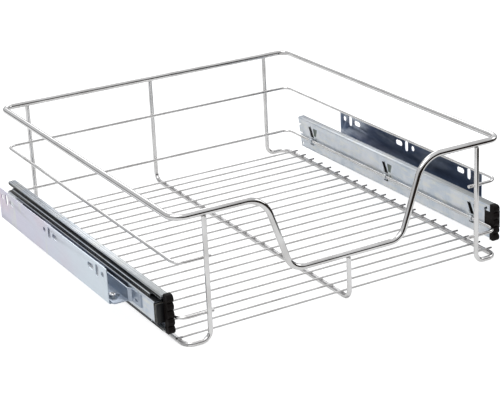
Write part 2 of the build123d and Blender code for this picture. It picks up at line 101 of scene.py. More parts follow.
class Graph:  # the node tree that the signals live in
    def __init__(self, tree):
        self.tree = tree
        tree.nodes.clear()

    def node(self, kind, settings=None, sockets=None, out=0):
        made = self.tree.nodes.new(kind)
        for key, value in (settings or {}).items():
            if key == "stops":  # a colour ramp's (place, colour) pairs
                points = made.color_ramp.elements
                while len(points) < len(value):
                    points.new(1.0)
                for point, (place, colour) in zip(points, value):
                    point.position = place
                    point.color = (*colour, 1.0)
            else:
                setattr(made, key, value)
        for key, value in (sockets or {}).items():
            if isinstance(value, Signal):
                self.tree.links.new(value.socket, made.inputs[key])
            elif isinstance(value, tuple) and len(value) == 3 and len(made.inputs[key].default_value) == 4:
                made.inputs[key].default_value = (*value, 1.0)
            else:
                made.inputs[key].default_value = value
        return Signal(self, made.outputs[out]) if made.outputs else None

    def blend(self, share, first, second):
        return self.node("ShaderNodeMix", {"data_type": "RGBA"}, {0: share, 6: first, 7: second}, 2)

    def ramp(self, value, low, high, start=0.0, end=1.0):  # smooth step between two values
        return self.node(
            "ShaderNodeMapRange",
            {"interpolation_type": "SMOOTHSTEP"},
            {"Value": value, "From Min": low, "From Max": high, "To Min": start, "To Max": end},
        )

    def band(self, value, middle, half, soft):  # 1 within half of the middle, fading out over soft
        return self.ramp(abs(value - middle), half - soft / 2, half + soft / 2, 1.0, 0.0)

    def place(self):
        return self.node("ShaderNodeTexCoord", out="Object")

    def axis(self, vector, letter):
        return self.node("ShaderNodeSeparateXYZ", sockets={0: vector}, out="XYZ".index(letter))

    def stretch(self, vector, scale, turn=(0.0, 0.0, 0.0)):
        return self.node("ShaderNodeMapping", sockets={"Vector": vector, "Scale": scale, "Rotation": turn})

    def noise(self, vector, scale, detail=2.0, roughness=0.5):
        return self.node(
            "ShaderNodeTexNoise",
            sockets={"Vector": vector, "Scale": scale, "Detail": detail, "Roughness": roughness},
        )

    def bump(self, height, strength, distance):
        return self.node("ShaderNodeBump", sockets={
            "Height": height, "Strength": strength, "Distance": distance,
        }, out="Normal")

    def join(self, **parts):  # a vector from its X, Y and Z
        return self.node("ShaderNodeCombineXYZ", sockets=parts)

    def here(self):  # each point's own place, in a shape's tree
        return self.node("GeometryNodeInputPosition", out="Position")


def newFinish(name):
    material = bpy.data.materials.new(name)
    material.use_nodes = True
    return material, Graph(material.node_tree)


def finishWith(graph, sockets):
    surface = graph.node("ShaderNodeBsdfPrincipled", sockets=sockets, out="BSDF")
    graph.node("ShaderNodeOutputMaterial", sockets={"Surface": surface})


chromeLook = {
    "bright": (0.81, 0.805, 0.80),
    "dull": (0.66, 0.65, 0.64),
    "cutEnd": (0.10, 0.095, 0.09),
    "weldTintAndShade": (0.33, 0.325, 0.335),
    "roughness": 0.03,
    "drawRound": 55.0,       # marks of the drawing die, how close they lie round the wire
    "drawAlong": 14.0,       # and how often they change along it
    "tintFade": (2.6, 5.0),  # mm from a weld to where its heat tint and painted shade begin to fade and end
    "tintShare": 0.75,
    "rowHalf": 2.4,          # mm, half the width of a bottom wire's row painted darker along its welds
    "rowTop": (5.4, 6.4),    # mm, the heights between which that row ends
    "rowShare": 0.6,
    "cutSoft": 0.4,
}


def chromeFinish(name, weldLines=(), cutFrom=None, satin=0.0, paintedDarkRows=()):  # places in mm from the middle
    material, g = newFinish(name)
    place = g.place()
    aside = abs(g.axis(place, "X")) / mm
    ring = g.node("ShaderNodeAttribute", {"attribute_name": "ring"}, out="Vector")
    along = g.node("ShaderNodeAttribute", {"attribute_name": "along"}, out="Fac")
    drawn = g.join(
        X=g.axis(ring, "X") * chromeLook["drawRound"],
        Y=g.axis(ring, "Y") * chromeLook["drawRound"],
        Z=along * chromeLook["drawAlong"],
    )
    lines = g.noise(drawn, 1.0, 3.0, 0.6)
    clouds = g.noise(place, 38.0, 3.0, 0.55)
    pits = g.noise(place, 900.0, 2.0, 0.6)
    tone = g.blend(g.ramp(clouds, 0.35, 0.75), chromeLook["bright"], chromeLook["dull"])
    rough = chromeLook["roughness"] + satin + g.ramp(clouds, 0.3, 0.8) * 0.04 + lines * 0.03
    for weldX in weldLines:  # heat tint and painted shade where this wire crosses a frame wire
        far = abs(aside - weldX) + clouds * 2.0
        tint = g.ramp(far, *chromeLook["tintFade"], chromeLook["tintShare"], 0.0)
        tone = g.blend(tint, tone, chromeLook["weldTintAndShade"])
        rough = rough + tint * 0.2
    for rowX in paintedDarkRows:  # the bottom wires are painted darker along their rows of welds, a painted dark reflection, and made rougher
        low = g.ramp(g.axis(place, "Z") / mm, *chromeLook["rowTop"], 1.0, 0.0)
        row = g.band(aside, rowX, chromeLook["rowHalf"], 0.6) * low
        tone = g.blend(row * chromeLook["rowShare"], tone, chromeLook["weldTintAndShade"])
        rough = rough + row * 0.25
    if cutFrom:  # the sheared ends are painted near black and made rougher
        cut = g.ramp(aside, cutFrom - chromeLook["cutSoft"], cutFrom + chromeLook["cutSoft"])
        tone = g.blend(cut, tone, chromeLook["cutEnd"])
        rough = rough + cut * 0.35
    finishWith(g, {
        "Base Color": tone,
        "Metallic": 1.0,
        "Roughness": rough,
        "Normal": g.bump(lines * 0.7 + pits * 0.3, 0.1, 0.02 * mm),
    })
    return material


# silver, cool and warm are the zinc's own tones; the darker tones after them are painted shade and painted
# reflection, and bead is a painted glint of the balls
zincLook = {
    "silver": (0.81, 0.845, 0.89),
    "cool": (0.66, 0.73, 0.81),
    "warm": (0.86, 0.865, 0.81),
    "flange": (0.30, 0.31, 0.305),
    "crease": (0.30, 0.32, 0.34),
    # painted black shade for the rails' gaps, openings and races
    "paintedShade": (0.012, 0.012, 0.012),
    "race": (0.030, 0.032, 0.030),
    "bead": (0.22, 0.23, 0.22),
    "shade": (0.05, 0.065, 0.11),
    "dish": (0.15, 0.185, 0.165),
    "metallic": 0.82,
    "roughness": 0.24,
}
# Places in mm: out from the basket's middle, off up or down from the rails' middle, y towards the back.
# A pair is where a mark begins and where it is whole, or the shares it has there.
section = {"middle": 34.4, "web": 195.8, "middleWeb": 198.2, "basketFace": 206.0, "middleFace": 208.5}
basketMarks = {
    "flangeOff": (18.7, 19.1), "flangeAlong": (-200.0, 90.0), "flangeShare": (0.86, 0.1),
    "level": (0.85, 0.95), "creases": (200.3, 203.1), "creaseHalf": 0.35,
    "race": 17.4, "raceHalf": 1.5, "soft": 0.4,
}
hooks = {"places": (162.5, -3.0, -168.5), "skin": 0.9}
dish = {"lead": 9.0, "middle": 41.5, "height": 9.5, "rise": (37.0, 46.0), "half": (2.6, 4.6)}
slit = {"half": 11.0, "thick": 0.75, "middle": 36.0, "rise": 13.0, "turn": 3.0}
tab = {"lead": 1.6, "half": 1.7, "middle": 41.0, "rise": 7.0, "thick": 1.4, "share": 0.85}


def openFace(g, out, face):  # the edge of a rail's flange, turned to the cabinet
    return g.ramp(out, face - 0.5, face - 0.2)


def basketRailMarks(g, spot, tone, metallic, height):
    out, off, y, z = spot
    marks = basketMarks
    web, skin = section["web"], section["web"] + hooks["skin"]
    # painted shade: the flange tops are painted darker towards the front
    flange = g.ramp(off, *marks["flangeOff"]) * g.ramp(y, *marks["flangeAlong"], *marks["flangeShare"])
    tone = g.blend(flange, tone, zincLook["flange"])
    normal = g.node("ShaderNodeNewGeometry", out="Normal")
    level = g.ramp(abs(g.axis(normal, "Z")), *marks["level"])
    for creaseOut in marks["creases"]:  # lines rolled into the flanges, bumped in and painted darker as their shade
        line = g.band(out, creaseOut, marks["creaseHalf"], marks["soft"]) * level
        tone = g.blend(line, tone, zincLook["crease"])
        height = height - line
    # painted shade: the lip turned to the cabinet is painted near black
    race = g.band(off, marks["race"], marks["raceHalf"], marks["soft"])
    tone = g.blend(race * openFace(g, out, section["basketFace"]), tone, zincLook["race"])
    for hookAt in hooks["places"]:
        # the dish pressed beside each hook mirrors the dark
        half = g.ramp(z, *dish["rise"], *dish["half"])
        inDish = g.ramp(half - abs(y - (hookAt - dish["lead"])), -0.4, 0.8)
        inDish = inDish * g.band(z, dish["middle"], dish["height"] / 2, 1.0)
        inDish = inDish * g.ramp(out, skin - 0.1, skin, 1.0, 0.0)
        tone = g.blend(inDish, tone, zincLook["dish"])
        # the cut edges of the opening lie in shade
        inSlit = g.band(y, hookAt, slit["half"], 1.0) * g.band(z, slit["middle"], slit["rise"], 1.0)
        inSlit = inSlit * g.band(out, skin, slit["thick"], 0.2)
        edge = g.blend(g.ramp(y, hookAt - slit["turn"], hookAt), zincLook["dish"], zincLook["paintedShade"])
        tone = g.blend(inSlit, tone, edge)
        metallic = metallic * (1.0 - inSlit)
        # and so does the tab between them
        onTab = g.band(y, hookAt + tab["lead"], tab["half"], 0.5) * g.band(z, tab["middle"], tab["rise"], 1.0)
        onTab = onTab * g.band(out, web - tab["thick"], tab["thick"], 0.4)
        tone = g.blend(onTab * tab["share"], tone, zincLook["paintedShade"])
    return tone, metallic, height


middleMarks = {
    "hookShadeLead": 4.4, "hookShadeHalf": 8.5, "hookShadeMiddle": 41.5, "hookShadeRise": 9.0,
    "flangeOff": (14.9, 15.2), "flangeOut": (207.3, 207.7), "flangeShare": 0.92,
    "race": 13.4, "raceHalf": 1.75, "bead": 13.2, "beadHalf": 0.5, "beadPitch": 4.0, "soft": 0.4,
}


def middleRailMarks(g, spot, tone, metallic, height):
    out, off, y, z = spot
    marks = middleMarks
    innerFace = section["middleWeb"] + 0.2
    hookShade = g.band(y, hooks["places"][0] + marks["hookShadeLead"], marks["hookShadeHalf"], 4.0)
    for hookAt in hooks["places"][1:]:  # painted shade behind the hooks' openings, so they read black
        hookShade = hookShade.larger(g.band(y, hookAt + marks["hookShadeLead"], marks["hookShadeHalf"], 4.0))
    hookShade = hookShade * g.band(z, marks["hookShadeMiddle"], marks["hookShadeRise"], 3.0)
    hookShade = hookShade * g.ramp(out, innerFace, innerFace + 0.1, 1.0, 0.0)
    tone = g.blend(hookShade, tone, zincLook["paintedShade"])
    metallic = metallic * (1.0 - hookShade)
    # painted shade where the flange dips under the basket rail's
    under = g.ramp(off, *marks["flangeOff"]) * g.ramp(out, *marks["flangeOut"], 1.0, 0.0)
    tone = g.blend(under * marks["flangeShare"], tone, zincLook["paintedShade"])
    # the race is painted near black as shade, with painted glints of the balls in a row along it
    race = g.band(off, marks["race"], marks["raceHalf"], marks["soft"])
    race = race * openFace(g, out, section["middleFace"])
    wave = (y * (2.0 * math.pi / marks["beadPitch"])).through("SINE")
    beads = g.ramp(wave, 0.55, 0.9) * g.band(off, marks["bead"], marks["beadHalf"], marks["soft"])
    tone = g.blend(race, tone, zincLook["paintedShade"])
    tone = g.blend(race * beads, tone, zincLook["bead"])
    return tone, metallic * (1.0 - race * 0.7), height


cabinetMarks = {
    "flangeOff": (10.6, 10.9), "flangeOut": (209.1, 209.5), "flangeShare": 0.92,
    "gapFront": (-142.0, -136.0), "gapHalf": 160.0, "gapOut": (209.4, 210.2),
    "gapRise": (35.0, 41.0), "gapFade": (0.25, 1.0), "gapShare": 0.9,
}


def cabinetRailMarks(g, spot, tone, metallic, height):
    out, off, y, z = spot
    marks = cabinetMarks
    # painted shade along the flange, in the gap beside the middle rail
    under = g.ramp(off, *marks["flangeOff"]) * g.ramp(out, *marks["flangeOut"], 1.0, 0.0)
    tone = g.blend(under * marks["flangeShare"], tone, zincLook["paintedShade"])
    # the stretch behind the mounting plate mirrors the gap between them
    gap = g.ramp(y, *marks["gapFront"]) * g.band(y, 0.0, marks["gapHalf"], 8.0)
    gap = gap * g.ramp(out, *marks["gapOut"]) * g.ramp(z, *marks["gapRise"], *marks["gapFade"])
    return g.blend(gap * marks["gapShare"], tone, zincLook["shade"]), metallic, height


def zincRailFinish(name, addMarks):
    material, g = newFinish(name)
    place = g.place()
    streaks = g.noise(g.stretch(place, (1.0, 16.0, 75.0), (0.62, 0.0, 0.0)), 3.2, 4.0, 0.6)
    rolled = g.noise(g.stretch(place, (1.0, 0.03, 1.0)), 900.0, 2.0, 0.5)  # rolling marks, along the rail
    clouds = g.noise(g.stretch(place, (1.0, 1.6, 0.7)), 24.0, 4.0, 0.65)
    patches = g.noise(place, 70.0, 3.0, 0.6)
    grain = g.noise(place, 1400.0, 2.0, 0.5)
    tone = g.blend(g.ramp(clouds, 0.36, 0.64), zincLook["silver"], zincLook["cool"])
    tone = g.blend(g.ramp(streaks, 0.46, 0.7, 0.0, 0.7), tone, zincLook["warm"])
    tone = g.blend(g.ramp(patches, 0.5, 0.75, 0.0, 0.35), tone, zincLook["cool"])
    height = rolled * 0.5 + grain * 0.3 + streaks * 0.2
    x, y, z = (g.axis(place, letter) / mm for letter in "XYZ")
    spot = (abs(x), abs(z - section["middle"]), y, z)
    tone, metallic, height = addMarks(g, spot, tone, zincLook["metallic"], height)
    finishWith(g, {
        "Base Color": tone,
        "Metallic": metallic,
        "Roughness": zincLook["roughness"] + clouds * 0.12 + rolled * 0.08,
        "Normal": g.bump(height, 0.25, 0.08 * mm),
    })
    return material


plateLook = {
    "inside": (0.125, 0.165, 0.26),
    "insideSmear": (0.66, 0.71, 0.78),
    "insideFace": 233.4,          # mm out from the basket's middle
    "lilac": (0.74, 0.73, 0.86),
    "rose": (0.83, 0.73, 0.81),
    "straw": (0.83, 0.86, 0.76),
    "sky": (0.80, 0.88, 0.95),
    "lilacAlong": (-50.0, 170.0),  # mm, from sky at the front to lilac at the back
    "smearAlong": (20.0, 150.0),
    "smearShare": (0.3, 0.9),
    "metallic": 0.8,
    "roughness": 0.24,
}


def zincPlateFinish(name, insideShare):
    material, g = newFinish(name)
    place = g.place()
    out, y = abs(g.axis(place, "X")) / mm, g.axis(place, "Y") / mm
    drift = g.noise(g.stretch(place, (1.0, 1.0, 1.6), (0.5, 0.0, 0.0)), 9.0, 3.0, 0.55)
    bands = g.noise(g.stretch(place, (1.0, 1.0, 0.25), (0.35, 0.0, 0.0)), 26.0, 3.0, 0.6)
    grain = g.noise(place, 1500.0, 2.0, 0.5)
    smears = g.noise(g.stretch(place, (1.0, 1.0, 4.0)), 30.0, 4.0, 0.6)
    glints = g.noise(g.stretch(place, (1.0, 1.0, 3.2), (0.28, 0.0, 0.0)), 14.0, 3.0, 0.5)
    behind = g.ramp(y + drift * 120.0, *plateLook["lilacAlong"])
    tone = g.blend(behind, plateLook["sky"], plateLook["lilac"])
    tone = g.blend(g.ramp(drift, 0.5, 0.68, 0.0, 0.8) * behind, tone, plateLook["rose"])
    tone = g.blend(g.ramp(bands, 0.56, 0.72, 0.0, 0.75), tone, plateLook["straw"])
    # the faces turned to the runner mirror the dark gap between them, with a few smears of light
    inside = g.ramp(out, plateLook["insideFace"] - 0.1, plateLook["insideFace"] + 0.1, 1.0, 0.0)
    paler = g.ramp(y, *plateLook["smearAlong"], *plateLook["smearShare"])
    dark = g.blend(g.ramp(glints, 0.44, 0.66) * paler, plateLook["inside"], plateLook["insideSmear"])
    tone = g.blend(inside * insideShare, tone, dark)
    finishWith(g, {
        "Base Color": tone,
        "Metallic": plateLook["metallic"],
        "Roughness": plateLook["roughness"] + smears * 0.14,
        "Normal": g.bump(grain * 0.4 + smears * 0.6, 0.2, 0.1 * mm),
    })
    return material


rubberLook = {
    "deep": (0.0075, 0.0055, 0.0050), "dust": (0.014, 0.011, 0.010),
    "roughness": 0.46, "grain": 1100.0, "depth": 0.1, "shine": 0.12,
}
stopLook = {
    "deep": (0.007, 0.007, 0.008), "dust": (0.018, 0.018, 0.019),
    "roughness": 0.28, "grain": 700.0, "depth": 0.05, "shine": 0.4,
    "worn": (0.20, 0.19, 0.16), "wornAt": -198.2,  # the grey on the rib between the stop's grooves is a painted reflection
}
cageLook = {
    "deep": (0.007, 0.007, 0.008), "dust": (0.018, 0.018, 0.019),
    "roughness": 0.2, "grain": 500.0, "depth": 0.05, "shine": 0.5,
}


def blackFinish(name, look):
    material, g = newFinish(name)
    place = g.place()
    grain = g.noise(place, look["grain"], 3.0, 0.6)
    clouds = g.noise(place, 90.0, 3.0, 0.6)
    tone = g.blend(g.ramp(clouds, 0.45, 0.8, 0.0, 0.6), look["deep"], look["dust"])
    # a painted grey reflection along the rib
    if "worn" in look:
        worn = g.band(g.axis(place, "Y") / mm, look["wornAt"], 0.6, 0.4) * g.ramp(clouds, 0.3, 0.5, 0.5, 1.0)
        tone = g.blend(worn, tone, look["worn"])
    finishWith(g, {
        "Base Color": tone,
        "Roughness": look["roughness"] + grain * 0.2,
        "Specular IOR Level": look["shine"],
        "Normal": g.bump(grain, 0.35, look["depth"] * mm),
    })
    return material


steelLook = {"base": (0.74, 0.75, 0.76), "dark": (0.42, 0.42, 0.43), "roughness": 0.16}


def brightSteelFinish(name):
    material, g = newFinish(name)
    place = g.place()
    clouds = g.noise(place, 260.0, 3.0, 0.6)
    scratches = g.noise(g.stretch(place, (1.0, 0.15, 1.0)), 2600.0, 2.0, 0.5)
    finishWith(g, {
        "Base Color": g.blend(g.ramp(clouds, 0.4, 0.8), steelLook["base"], steelLook["dark"]),
        "Metallic": 1.0,
        "Roughness": steelLook["roughness"] + clouds * 0.12,
        "Normal": g.bump(scratches, 0.15, 0.04 * mm),
    })
    return material


chromeWire = chromeFinish("chromed wire")
basketZinc = zincRailFinish("zinc plated basket rail", basketRailMarks)
middleZinc = zincRailFinish("zinc plated middle rail", middleRailMarks)
cabinetZinc = zincRailFinish("zinc plated cabinet rail", cabinetRailMarks)
# the last number is how dark the faces are that are turned to the runner
plateZinc = zincPlateFinish("passivated zinc plate", 1.0)
leftPlateZinc = zincPlateFinish("passivated zinc plate, left", 0.35)
footZinc = zincPlateFinish("passivated zinc foot", 0.55)
blackRubber = blackFinish("black rubber", rubberLook)
blackPlastic = blackFinish("black moulded plastic", stopLook)
cagePlastic = blackFinish("greased cage strip", cageLook)
brightSteel = brightSteelFinish("bright plated steel")
print("finishes made")


# a Geometry Nodes tree: its seed is the mesh it grows on, its other inputs are sizes and the finish
def shapeTree(name, sizes):
    tree = bpy.data.node_groups.new(name, "GeometryNodeTree")
    g = Graph(tree)
    face = tree.interface
    face.new_socket("Seed", in_out="INPUT", socket_type="NodeSocketGeometry")
    for key, value in sizes.items():
        kind = "NodeSocketInt" if isinstance(value, int) else "NodeSocketFloat"
        face.new_socket(key, in_out="INPUT", socket_type=kind).default_value = value
    face.new_socket("Finish", in_out="INPUT", socket_type="NodeSocketMaterial")
    face.new_socket("Shape", in_out="OUTPUT", socket_type="NodeSocketGeometry")
    entry = tree.nodes.new("NodeGroupInput")
    return g, {item.name: Signal(g, item) for item in entry.outputs if item.name}


def closeTree(g, shape, finish):
    real = g.node("GeometryNodeRealizeInstances", sockets={"Geometry": shape})
    smooth = g.node("GeometryNodeSetShadeSmooth", sockets={"Geometry": real})
    done = g.node("GeometryNodeSetMaterial", sockets={"Geometry": smooth, "Material": finish})
    g.node("NodeGroupOutput", sockets={"Shape": done})
    return g.tree


def seedMesh(name, points, closed=False, joined=None, **facts):
    mesh = bpy.data.meshes.new(name)
    joined = len(points) if joined is None else joined  # only so many of the first points make a line
    edges = [(i, i + 1) for i in range(joined - 1)]
    if closed:
        edges.append((len(points) - 1, 0))
    mesh.from_pydata([Vector(p) * mm for p in points], edges, [])
    for key, values in facts.items():  # kept on the points, for the tree to read
        kind = "FLOAT_VECTOR" if isinstance(values[0], (tuple, Vector)) else "FLOAT"
        layer = mesh.attributes.new(key, kind, "POINT")
        for item, value in zip(layer.data, values):
            if kind == "FLOAT":
                item.value = value
            else:
                item.vector = value
    return mesh


def grow(name, tree, seed, values):
    made = bpy.data.objects.new(name, seed)
    bpy.context.scene.collection.objects.link(made)
    modifier = made.modifiers.new("shape", "NODES")
    modifier.node_group = tree
    for item in tree.interface.items_tree:
        if item.in_out == "INPUT" and item.name in values:
            modifier[item.identifier] = values[item.name]
    evaluated = made.evaluated_get(bpy.context.evaluated_depsgraph_get())
    mesh = bpy.data.meshes.new_from_object(evaluated)
    made.modifiers.clear()
    made.data = mesh
    mesh.name = name
    return made


# a round wire along a bent path; each seed point carries its own bend radius
g, given = shapeTree("bent wire", {"Wire Radius": 0.002, "Sides": 24, "Bend Steps": 16})
bendAt = g.node("GeometryNodeInputNamedAttribute", {"data_type": "FLOAT"}, {"Name": "bend"})
path = g.node("GeometryNodeMeshToCurve", sockets={"Mesh": given["Seed"]})
path = g.node("GeometryNodeFilletCurve", {"mode": "POLY"}, {
    "Curve": path, "Count": given["Bend Steps"], "Radius": bendAt, "Limit Radius": True,
})
path = g.node("GeometryNodeStoreNamedAttribute", {"data_type": "FLOAT"}, {
    "Geometry": path, "Name": "along", "Value": g.node("GeometryNodeSplineParameter", out="Length"),
})
circle = g.node("GeometryNodeCurvePrimitiveCircle", sockets={
    "Resolution": given["Sides"], "Radius": given["Wire Radius"],
})
circle = g.node("GeometryNodeStoreNamedAttribute", {"data_type": "FLOAT_VECTOR"}, {
    "Geometry": circle, "Name": "ring",
    "Value": g.node("ShaderNodeVectorMath", {"operation": "NORMALIZE"}, {0: g.here()}),
})
skin = g.node("GeometryNodeCurveToMesh", sockets={
    "Curve": path, "Profile Curve": circle, "Fill Caps": True,
})
bentWireTree = closeTree(g, skin, given["Finish"])


wireFacets = {"sides": 24, "rimSides": 32, "bendSteps": 16}


def wirePiece(name, points, bends, diameter, finish, closed=False, sides=wireFacets["sides"]):
    bends = bends if closed else [0.0, *bends, 0.0]
    seed = seedMesh(name, points, closed=closed, bend=[b * mm for b in bends])
    piece = grow(name, bentWireTree, seed, {
        "Wire Radius": diameter / 2 * mm, "Sides": sides,
        "Bend Steps": wireFacets["bendSteps"], "Finish": finish,
    })
    piece.data.attributes.remove(piece.data.attributes["bend"])
    return piece


# the basket's bent wires; sizes in mm, from the middle of one wire to the middle of the other
rim = {"width": 389.4, "depth": 436.8, "height": 135.9, "wire": 6.8, "corner": 14.0}
dip = {"height": 51.5, "topWidth": 190.8, "bottomWidth": 133.4, "topBend": 30.0, "bottomBend": 20.0}
x, y, z = rim["width"] / 2, rim["depth"] / 2, rim["height"]
dipTop, dipBottom = dip["topWidth"] / 2, dip["bottomWidth"] / 2
rimPiece = wirePiece(
    "rim",
    [
        (x, y, z), (x, -y, z), (dipTop, -y, z), (dipBottom, -y, dip["height"]),
        (-dipBottom, -y, dip["height"]), (-dipTop, -y, z), (-x, -y, z), (-x, y, z),
    ],
    [rim["corner"], rim["corner"], dip["topBend"], dip["bottomBend"],
     dip["bottomBend"], dip["topBend"], rim["corner"], rim["corner"]],
    rim["wire"], chromeWire, closed=True, sides=wireFacets["rimSides"],
)
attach(rimPiece, "basket")
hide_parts("rim_wire")

frameWire = {"wire": 5.2, "spacing": 326.0, "outset": 2.0, "footSpacing": 380.4, "bend": 10.0, "corner": 11.0}
uprightX = frameWire["spacing"] / 2
uprightY = rim["depth"] / 2 + frameWire["outset"]
footX = frameWire["footSpacing"] / 2
footZ = frameWire["wire"] / 2
weldGap = 0.05
uprightTop = rim["height"] - rim["wire"] / 2 - weldGap
dipUnder = dip["height"] - rim["wire"] / 2 - weldGap
# the bottom wires get a painted dark reflection along their rows of welds
frameChrome = chromeFinish("chromed frame wire", paintedDarkRows=(0.0, footX))
for side, way in (("left", -1), ("right", 1)):
    piece = wirePiece(
        f"{side}FrameWire",
        [
            (way * uprightX, uprightY, uprightTop), (way * uprightX, uprightY, footZ),
            (way * footX, uprightY, footZ), (way * footX, -uprightY, footZ),
            (way * uprightX, -uprightY, footZ), (way * uprightX, -uprightY, uprightTop),
        ],
        [frameWire["bend"], frameWire["corner"], frameWire["corner"], frameWire["bend"]],
        frameWire["wire"], frameChrome,
    )
    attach(piece, "basket")
    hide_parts(f"{side}_frame_wire")
piece = wirePiece(
    "centreFrameWire",
    [(0, uprightY, uprightTop), (0, uprightY, footZ), (0, -uprightY, footZ), (0, -uprightY, dipUnder)],
    [frameWire["bend"], frameWire["bend"]], frameWire["wire"], frameChrome,
)
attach(piece, "basket")
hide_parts("centre_frame_wire")

sideWire = {"wire": 3.6, "inset": 0.9, "corner": 11.0, "tail": 4.5, "upper": 88.5, "lower": 30.2}
sideX = rim["width"] / 2 - sideWire["inset"]
sideY = uprightY - (frameWire["wire"] + sideWire["wire"]) / 2 - weldGap
tailX = uprightX - frameWire["wire"] / 2 - sideWire["tail"]
for level in ("upper", "lower"):
    h = sideWire[level]
    piece = wirePiece(
        f"{level}SideWire",
        [(-tailX, -sideY, h), (-sideX, -sideY, h), (-sideX, sideY, h),
         (sideX, sideY, h), (sideX, -sideY, h), (tailX, -sideY, h)],
        [sideWire["corner"]] * 4, sideWire["wire"], chromeWire,
    )
    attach(piece, "basket")
    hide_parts(f"{level}_side_wire")

# floor wires: one bevelled rod repeated along a line of points
floorWire = {
    "wire": 2.4, "count": 21, "frontGap": 3.4, "backGap": 13.9, "overhang": 1.9, "bareEnd": 1.7,
    "bevel": 0.3, "tip": 0.8, "sides": 12, "steps": 40, "satin": 0.26,
}
floorFront = frameWire["bend"] + floorWire["frontGap"] - uprightY
floorBack = uprightY - frameWire["bend"] - floorWire["backGap"]
floorHalf = footX + frameWire["wire"] / 2 + floorWire["overhang"]
floorZ = frameWire["wire"] + floorWire["wire"] / 2 + weldGap
floorChrome = chromeFinish(
    "chromed floor wire", weldLines=(footX,), cutFrom=floorHalf - floorWire["bareEnd"],
    satin=floorWire["satin"],
)
g, given = shapeTree("floor wires", {
    "Wires": 21, "Front": -0.2, "Back": 0.2, "Half Width": 0.19, "Height": 0.006,
    "Wire Radius": 0.0012, "Bevel": 0.0003, "Tip": 0.8, "Sides": 12, "Steps": 40,
})
row = g.node("GeometryNodeMeshLine", {"mode": "END_POINTS"}, {
    "Count": given["Wires"],
    "Start Location": g.join(Y=given["Front"], Z=given["Height"]),
    "Offset": g.join(Y=given["Back"], Z=given["Height"]),
})
rod = g.node("GeometryNodeMeshCylinder", {"fill_type": "NGON"}, {
    "Vertices": given["Sides"], "Side Segments": given["Steps"],
    "Radius": given["Wire Radius"], "Depth": given["Half Width"] * 2.0,
})
here = g.here()
pastBevel = abs(g.axis(here, "Z")) - given["Half Width"] + given["Bevel"]
tip = g.node("ShaderNodeMapRange", {"interpolation_type": "SMOOTHSTEP"}, {
    "Value": pastBevel, "From Max": 0.01 * mm, "To Min": 1.0, "To Max": given["Tip"],
})
rod = g.node("GeometryNodeSetPosition", sockets={
    "Geometry": rod,
    "Position": g.node("ShaderNodeVectorMath", {"operation": "MULTIPLY"}, {
        0: here, 1: g.join(X=tip, Y=tip, Z=1.0),
    }),
})
rod = g.node("GeometryNodeStoreNamedAttribute", {"data_type": "FLOAT"}, {
    "Geometry": rod, "Name": "along", "Value": g.axis(here, "Z"),
})
rod = g.node("GeometryNodeStoreNamedAttribute", {"data_type": "FLOAT_VECTOR"}, {
    "Geometry": rod, "Name": "ring",
    "Value": g.node("ShaderNodeVectorMath", {"operation": "NORMALIZE"}, {
        0: g.join(X=g.axis(here, "X"), Y=g.axis(here, "Y")),
    }),
})
rods = g.node("GeometryNodeInstanceOnPoints", sockets={
    "Points": row, "Instance": rod, "Rotation": (0.0, math.pi / 2, 0.0),
})
floorTree = closeTree(g, rods, given["Finish"])
floorPiece = grow("floorWires", floorTree, seedMesh("floorSeed", [(0, 0, 0)], joined=0), {
    "Wires": floorWire["count"], "Front": floorFront * mm, "Back": floorBack * mm,
    "Half Width": floorHalf * mm, "Height": floorZ * mm,
    "Wire Radius": floorWire["wire"] / 2 * mm, "Bevel": floorWire["bevel"] * mm,
    "Tip": floorWire["tip"], "Sides": floorWire["sides"], "Steps": floorWire["steps"], "Finish": floorChrome,
})
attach(floorPiece, "basket")
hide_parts(*[f"floor_wire_{number + 1:02d}" for number in range(floorWire["count"])])

# weld nuggets: a small flattened bead squeezed out wherever two wires are welded; half sizes in mm
weld = {
    "floor": (1.75, 1.55, 0.75), "side": (1.9, 0.8, 1.9), "top": (3.1, 3.1, 0.9), "topInset": 0.4,
    "unevenness": 0.12, "smallest": 0.85, "seed": 7,
}
spots, sizes = [], []


def addWeld(kind, x, y, z):
    spots.append((x, y, z))
    sizes.append(tuple(half * mm for half in weld[kind]))


for number in range(floorWire["count"]):
    wireY = floorFront + number * (floorBack - floorFront) / (floorWire["count"] - 1)
    for crossX in (-footX, 0, footX):
        addWeld("floor", crossX, wireY, frameWire["wire"])
for level in ("upper", "lower"):
    for uprightAt in (-uprightX, 0, uprightX):
        for end in (-1, 1):
            if end == 1 or uprightAt:
                addWeld("side", uprightAt, end * (uprightY - frameWire["wire"] / 2), sideWire[level])
for uprightAt in (-uprightX, 0, uprightX):
    for end in (-1, 1):
        top = dipUnder if end == -1 and not uprightAt else uprightTop
        addWeld("top", uprightAt, end * (uprightY - weld["topInset"]), top)
weldChrome = chromeFinish("chromed weld")
g, given = shapeTree("weld beads", {"Unevenness": 0.12, "Smallest": 0.85, "Seed Number": 7})
sizeAt = g.node("GeometryNodeInputNamedAttribute", {"data_type": "FLOAT_VECTOR"}, {"Name": "size"})
bead = g.node("GeometryNodeMeshIcoSphere", sockets={"Radius": 1.0, "Subdivisions": 3})
lump = g.node("ShaderNodeTexNoise", {"noise_dimensions": "3D"}, {"Scale": 1.7, "Detail": 2.0})
bead = g.node("GeometryNodeSetPosition", sockets={
    "Geometry": bead,
    "Position": g.node("ShaderNodeVectorMath", {"operation": "SCALE"}, {
        0: g.here(), "Scale": 1.0 - given["Unevenness"] * lump,
    }),
})
share = g.node("FunctionNodeRandomValue", {"data_type": "FLOAT"}, {
    "Min": given["Smallest"], "Max": 1.0, "Seed": given["Seed Number"],
}, 1)
beads = g.node("GeometryNodeInstanceOnPoints", sockets={
    "Points": g.node("GeometryNodeMeshToPoints", sockets={"Mesh": given["Seed"]}), "Instance": bead,
    "Scale": g.node("ShaderNodeVectorMath", {"operation": "SCALE"}, {0: sizeAt, "Scale": share}),
})
